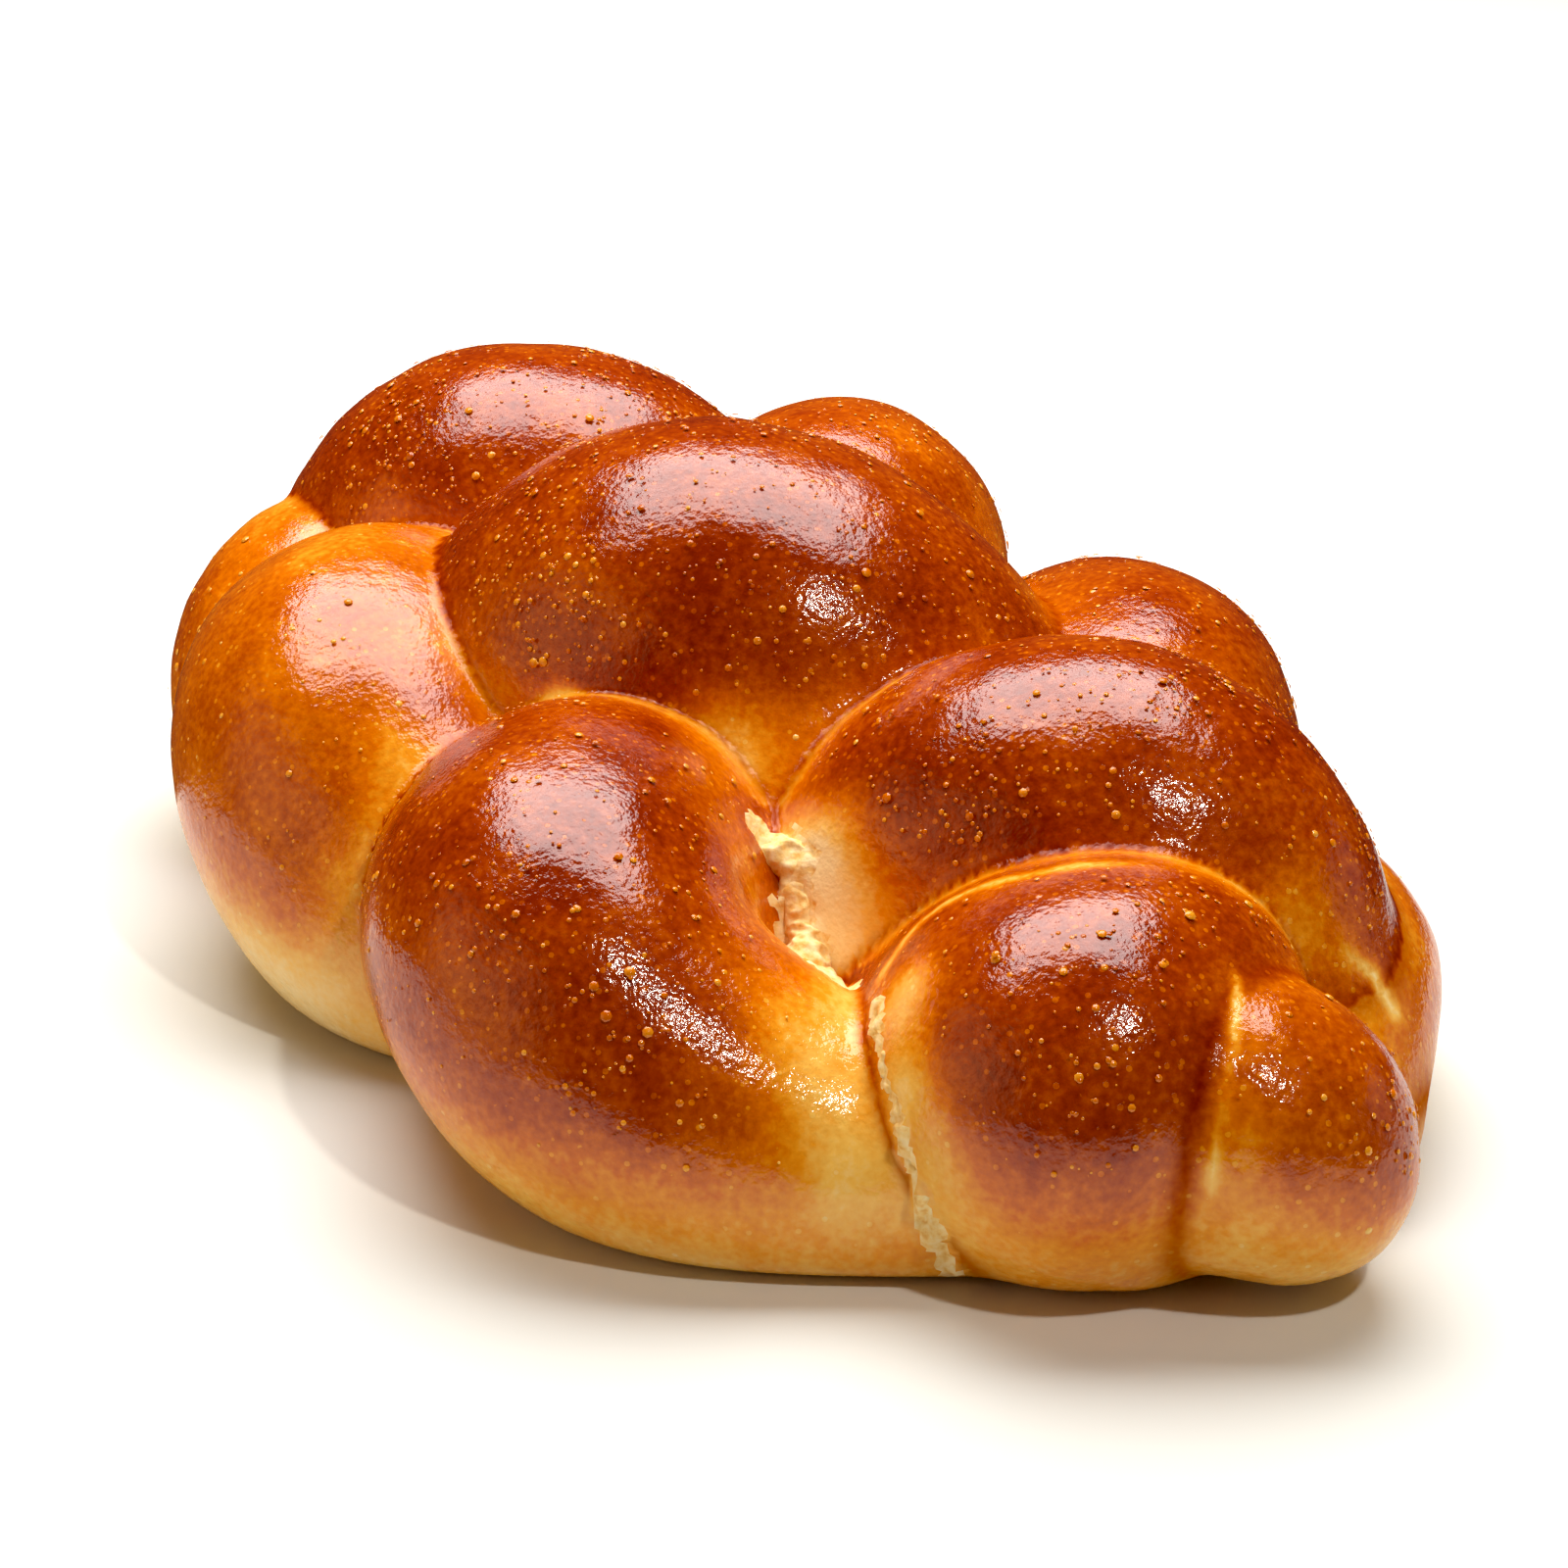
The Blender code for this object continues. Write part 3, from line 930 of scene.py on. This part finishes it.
# The crust mirrors the sheet in front of it, and not the floor behind it
FLOOR_SIDE, FRONT_SIDE = 8.0, 1.1
FLOOR_LEVEL, FRONT_LEVEL = -0.0003, -0.0002
paper = white_paper()
floor = add_paper("floor", FLOOR_SIDE, (0.0, 0.0), 0.0, FLOOR_LEVEL, paper)
floor.visible_glossy = False
add_paper("front_sheet", FRONT_SIDE, (0.36, -0.36), math.radians(VIEW_AZIMUTH), FRONT_LEVEL, paper)
print("the floor is", FLOOR_SIDE, "m wide and the front sheet", FRONT_SIDE, "m")


# %% Lights
def add_area_light(name, place, target, width, depth, radiance, colour):
    """A rectangular light of the given radiance, aimed at a target."""
    data = bpy.data.lights.new(name, "AREA")
    data.shape = "RECTANGLE"
    data.size, data.size_y = width, depth
    data.energy = radiance * math.pi * width * depth
    data.color = linear(colour)[:3]
    light = bpy.data.objects.new(name, data)
    bpy.context.scene.collection.objects.link(light)
    aim(light, Vector(place), Vector(target))
    return light


LOAF_HEART = (0.0, 0.0, 0.04)
SOFTBOX_TURN = 58.5
# Width, depth and radiance of the warm board's panels, and its place
SIDE_PANELS = ((0.5, 0.36, 0.5), (0.85, 0.66, 0.42), (1.25, 1.0, 0.34))
SIDE_PLACE = (-0.12, -0.97, 0.34)
PANEL_GAP = 0.02
softbox = add_area_light("softbox", (-0.47, 0.20, 1.0), (-0.47, 0.20, 0.0), 1.10, 0.96, 8.3, "#FFFFFB")
softbox.rotation_euler = (0.0, 0.0, math.radians(SOFTBOX_TURN))
add_area_light("hard_lamp", direction(95, 55) * 1.2, LOAF_HEART, 0.055, 0.055, 450.0, "#FFF8EA")
# The board is three panels, one behind the other, so that its mirror image fades at the edge
for number, (width, depth, radiance) in enumerate(SIDE_PANELS):
    place = [part * (1.0 + PANEL_GAP * number) for part in SIDE_PLACE]
    add_area_light("side_board", place, LOAF_HEART, width, depth, radiance, "#FFD6A0")
add_area_light("rim_board", (0.42, 0.95, 0.22), LOAF_HEART, 0.7, 0.36, 0.35, "#FFFFFF")
print("lights:", len(bpy.data.lights))


# %% Surroundings
def add_surroundings():
    world = bpy.data.worlds.new("pale_studio")
    world.use_nodes = True
    bpy.context.scene.world = world
    tree = world.node_tree
    background = tree.nodes["Background"]
    background.inputs["Color"].default_value = linear("#FFFDFA")
    background.inputs["Strength"].default_value = 0.03


add_surroundings()
scene = bpy.context.scene
scene.view_settings.view_transform = "Standard"
scene.view_settings.look = "None"
scene.view_settings.use_curve_mapping = True
# A trace of black level keeps the deepest browns free of blue
BLACK_LEVEL = 0.004
scene.view_settings.curve_mapping.black_level = (BLACK_LEVEL, BLACK_LEVEL, BLACK_LEVEL)
scene.view_settings.curve_mapping.update()
